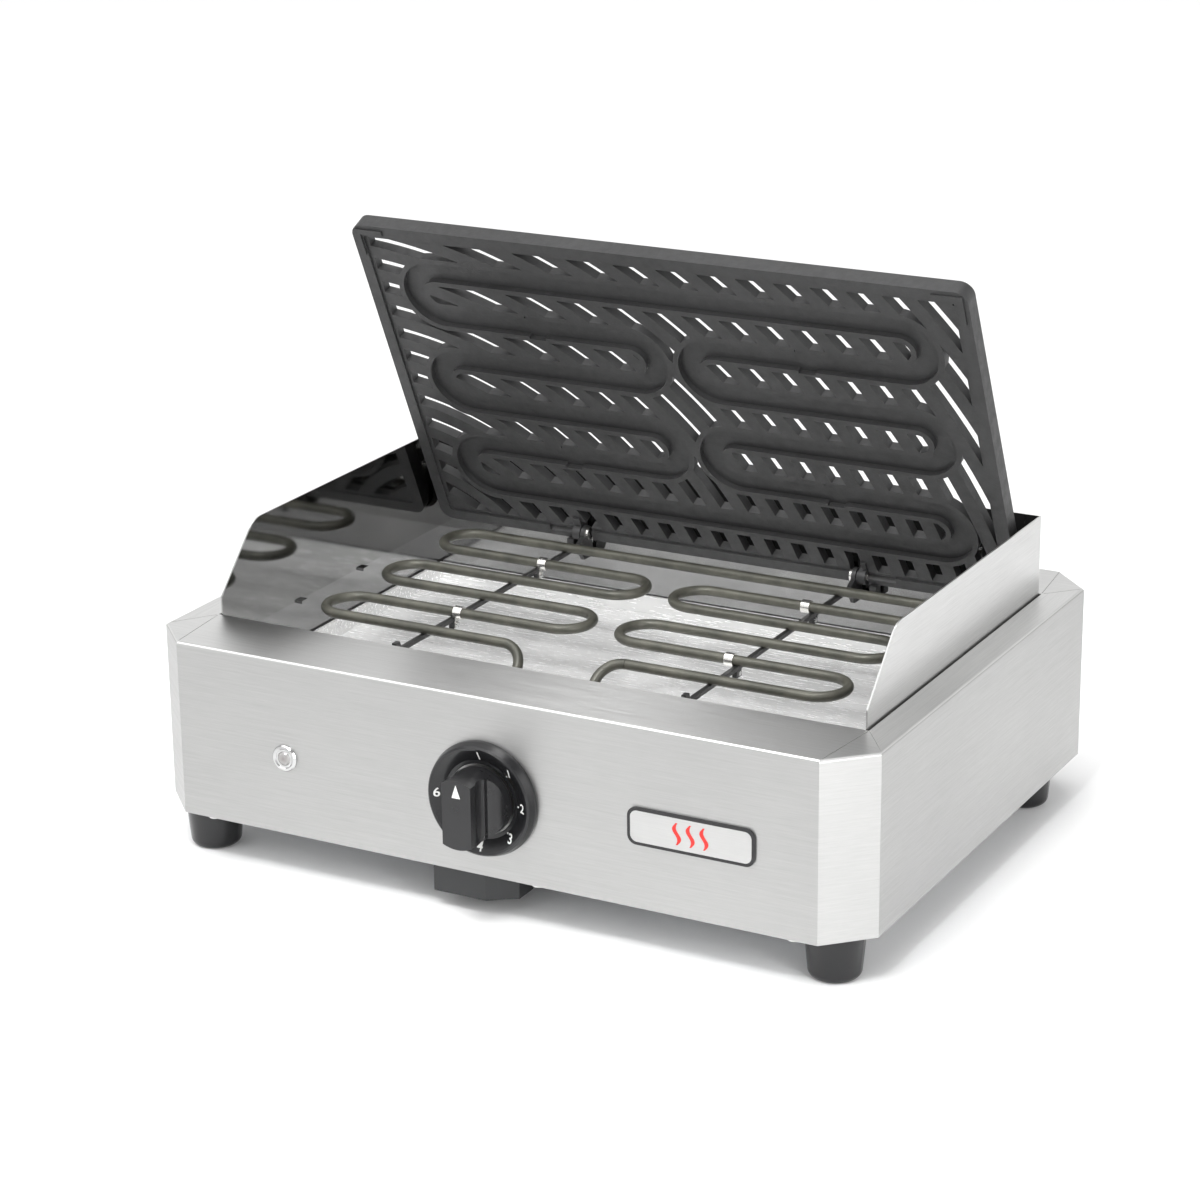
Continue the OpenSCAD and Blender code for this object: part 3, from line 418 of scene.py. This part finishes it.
soften("housing_shell", 0.45 * MM, 3)
soften("splash_guard", 0.3 * MM, 2)
soften("cast_grate", 0.9 * MM, 3)
soften("control_knob", 1.0 * MM, 3)
soften("support_bar_left", 0.4 * MM)
soften("support_bar_right", 0.4 * MM)
soften("cable_box", 0.6 * MM)
soften("element_clips", 0.2 * MM)
soften("badge_plate", 0.3 * MM)


# ---------------------------------------------------------------- small helpers

def mesh_piece(name, verts, faces, material, body, smooth=False):
    me = bpy.data.meshes.new(name)
    me.from_pydata([tuple(v) for v in verts], [], faces)
    me.validate()
    me.update()
    obj = bpy.data.objects.new(name, me)
    scene.collection.objects.link(obj)
    me.materials.append(material)
    for p in me.polygons:
        p.use_smooth = smooth
    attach(obj, body)
    return obj


# ---------------------------------------------------------------- dial print

dial = centre("dial_bezel")


def dial_face_y(r):
    """Height of the dial's sloping face, as a Y value, at a distance from its middle."""
    inner, outer = 25.5 * MM, 32.8 * MM
    low, high = 3.4 * MM, 7.6 * MM
    t = min(max((r - inner) / (outer - inner), 0.0), 1.0)
    return front_y - (low + (high - low) * t)


def text_mesh(body, size):
    curve = bpy.data.curves.new("glyph", "FONT")
    curve.body = body
    curve.size = size
    curve.align_x = "CENTER"
    curve.align_y = "CENTER"
    curve.offset = size * 0.012
    tmp = bpy.data.objects.new("glyph", curve)
    scene.collection.objects.link(tmp)
    me = bpy.data.meshes.new_from_object(tmp)
    pts = [v.co.copy() for v in me.vertices]
    polys = [tuple(p.vertices) for p in me.polygons]
    bpy.data.objects.remove(tmp)
    return pts, polys


def lay_on_dial(name, pts, polys):
    """Puts a flat mark, drawn in x and z about the dial's middle, on the sloping face."""
    verts = [Vector((dial.x + p[0], dial_face_y(math.hypot(p[0], p[1])) - 0.00012, dial.z + p[1]))
             for p in pts]
    back = [v + Vector((0, 0.0003, 0)) for v in verts]
    n = len(verts)
    faces = [tuple(f) for f in polys] + [tuple(reversed([i + n for i in f])) for f in polys]
    edges = {}
    for f in polys:
        for a, b in zip(f, f[1:] + f[:1]):
            edges[(a, b)] = edges.get((a, b), 0) + 1
    for a, b in list(edges):
        if (b, a) not in edges:
            faces.append((b, a, a + n, b + n))
    return mesh_piece(name, verts + back, faces, M["white"], "root")


def at_angle(deg, r):
    a = math.radians(deg)
    return r * math.sin(a), r * math.cos(a)


def disc(cx, cz, r, n=20):
    pts = [(cx + r * math.cos(2 * math.pi * i / n), cz + r * math.sin(2 * math.pi * i / n))
           for i in range(n)]
    return pts, [tuple(range(n))]


for number in range(1, 7):
    angle = 45.0 * number
    pts, polys = text_mesh(str(number), 8.2 * MM)
    cx, cz = at_angle(angle, 29.9 * MM)
    lay_on_dial("dial_number_%d" % number, [(p.x + cx, p.y + cz) for p in pts], polys)
    pts, polys = disc(*at_angle(angle, 26.0 * MM), 0.55 * MM)
    lay_on_dial("dial_dot_%d" % number, pts, polys)

tick = [(-0.45 * MM, 26.4 * MM), (0.45 * MM, 26.4 * MM), (0.45 * MM, 32.2 * MM), (-0.45 * MM, 32.2 * MM)]
lay_on_dial("dial_tick", tick, [(0, 1, 2, 3)])

# pointer on the knob's face
knob_lo, knob_hi = (Vector(c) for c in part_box("control_knob"))
knob_face = knob_lo.y
px, pz = dial.x, dial.z + 15.6 * MM
tri = [(-2.9, -4.0), (2.9, -4.0), (0.0, 4.4)]
tri_front = [Vector((px + a * MM, knob_face - 0.00012, pz + b * MM)) for a, b in tri]
tri_back = [v + Vector((0, 0.0004, 0)) for v in tri_front]
mesh_piece("knob_pointer", tri_front + tri_back,
           [(0, 1, 2), (5, 4, 3), (1, 0, 3, 4), (2, 1, 4, 5), (0, 2, 5, 3)],
           M["white"], "knob")


# ---------------------------------------------------------------- badge

badge_lo, badge_hi = (Vector(c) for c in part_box("badge_plate"))
badge_c = (badge_lo + badge_hi) / 2


def rounded_outline(w, h, r, n=8):
    pts = []
    for cx, cz, start in ((w / 2 - r, h / 2 - r, 0), (-w / 2 + r, h / 2 - r, 90),
                          (-w / 2 + r, -h / 2 + r, 180), (w / 2 - r, -h / 2 + r, 270)):
        for i in range(n + 1):
            a = math.radians(start + 90 * i / n)
            pts.append((cx + r * math.cos(a), cz + r * math.sin(a)))
    return pts


def raised(name, outline, y_back, y_front, material, body="root"):
    """A flat shape that stands out of the panel, from its outline about the badge's middle."""
    n = len(outline)
    front = [Vector((badge_c.x + a, y_front, badge_c.z + b)) for a, b in outline]
    back = [Vector((badge_c.x + a, y_back, badge_c.z + b)) for a, b in outline]
    faces = [tuple(range(n)), tuple(reversed(range(n, 2 * n)))]
    faces += [(i, i + n, (i + 1) % n + n, (i + 1) % n) for i in range(n)]
    return mesh_piece(name, front + back, faces, material, body)


face_y = badge_lo.y
raised("badge_field", rounded_outline(80 * MM, 20 * MM, 4.5 * MM), face_y + 0.0003, face_y - 0.00005,
       M["silver"])


def wave_outline(cx, height, width, amp, n=24):
    left, right = [], []
    for i in range(n + 1):
        t = i / n
        z = (t - 0.5) * height
        x = cx + amp * math.sin(2 * math.pi * t)
        half = width / 2 * math.sin(math.pi * min(max(t, 0.06), 0.94)) ** 0.5
        left.append((x - half, z))
        right.append((x + half, z))
    return list(reversed(left)) + right


for i, cx in enumerate((-9.0, 0.0, 9.0)):
    raised("badge_wave_%d" % (i + 1), wave_outline(cx * MM, 14 * MM, 3.0 * MM, 1.7 * MM),
           face_y + 0.0002, face_y - 0.00015, M["red"])


# ---------------------------------------------------------------- stage, lights and camera

def stage_floor():
    me = bpy.data.meshes.new("floor")
    s = 14.0
    me.from_pydata([(-s, -s, 0), (s, -s, 0), (s, s, 0), (-s, s, 0)], [], [(0, 1, 2, 3)])
    obj = bpy.data.objects.new("floor", me)
    scene.collection.objects.link(obj)
    n = Nodes("floor_pale")
    cloud = n.noise(n.coords(), 0.6, 2.0, 0.5)
    n.link(n.mix(cloud, (0.90, 0.90, 0.90), (0.93, 0.93, 0.93)), n.bsdf.inputs["Base Color"])
    n.surface(0.0, 0.9)
    n.bsdf.inputs["Specular IOR Level"].default_value = 0.1
    me.materials.append(n.mat)


stage_floor()


def softbox(name, place, target, size, power, spread=180.0):
    light = bpy.data.lights.new(name, "AREA")
    light.shape = "RECTANGLE"
    light.size, light.size_y = size
    light.energy = power
    light.spread = math.radians(spread)
    obj = bpy.data.objects.new(name, light)
    scene.collection.objects.link(obj)
    obj.location = place
    obj.rotation_mode = "QUATERNION"
    obj.rotation_quaternion = (Vector(target) - Vector(place)).to_track_quat("-Z", "Y")


softbox("key_top", (-0.5, -0.4, 2.6), (0, 0, 0.1), (2.6, 2.2), 24.0)
softbox("front_left", (-1.9, -2.2, 1.2), (0, 0, 0.1), (1.6, 1.6), 5.0)
softbox("corner_card", (2.2, -1.35, 0.75), (0.24, -0.17, 0.1), (0.8, 1.5), 26.0)
softbox("well_light", (0.1, -0.8, 1.3), (0.0, 0.02, 0.1), (0.5, 0.3), 0.9, 42.0)
softbox("right_side", (2.4, 0.9, 1.3), (0, 0, 0.1), (1.4, 1.4), 1.0)

sun = bpy.data.lights.new("even_light", "SUN")
sun.energy = 1.5
sun.angle = math.radians(75)
sun_obj = bpy.data.objects.new("even_light", sun)
scene.collection.objects.link(sun_obj)
sun_obj.rotation_euler = (math.radians(14), math.radians(-12), 0)

world = bpy.data.worlds.new("studio")
scene.world = world
world.use_nodes = True
wt = world.node_tree
bg = wt.nodes["Background"]
tc = wt.nodes.new("ShaderNodeTexCoord")
sep = wt.nodes.new("ShaderNodeSeparateXYZ")
ramp = wt.nodes.new("ShaderNodeValToRGB")
wt.links.new(tc.outputs["Generated"], sep.inputs[0])
wt.links.new(sep.outputs[2], ramp.inputs[0])
wt.links.new(ramp.outputs[0], bg.inputs[0])
stops = [(0.0, 1.3), (0.15, 1.3), (0.45, 0.95), (0.75, 0.55), (1.0, 0.5)]
while len(ramp.color_ramp.elements) < len(stops):
    ramp.color_ramp.elements.new(0.5)
for e, (at, v) in zip(ramp.color_ramp.elements, stops):
    e.position = at
    e.color = (v, v, v, 1.0)
bg.inputs[1].default_value = 0.82

scene.view_settings.view_transform = "Standard"
scene.view_settings.look = "None"

cam_data = bpy.data.cameras.new("camera")
cam = bpy.data.objects.new("camera", cam_data)
scene.collection.objects.link(cam)
cam_data.sensor_width = 36.0
cam_data.lens = 100.64
cam_data.clip_end = 60.0
azimuth, elevation, roll = math.radians(28.615), math.radians(19.064), math.radians(-0.648)
back = Vector((math.sin(azimuth) * math.cos(elevation), -math.cos(azimuth) * math.cos(elevation),
               math.sin(elevation)))
right = (-back).cross(Vector((0, 0, 1))).normalized()
up = right.cross(-back)
r2 = right * math.cos(roll) + up * math.sin(roll)
u2 = -right * math.sin(roll) + up * math.cos(roll)
camera_place = Matrix.Translation((0.96565, -1.7938, 0.860))
cam.matrix_world = camera_place @ Matrix((r2, u2, back)).transposed().to_4x4()
scene.camera = cam
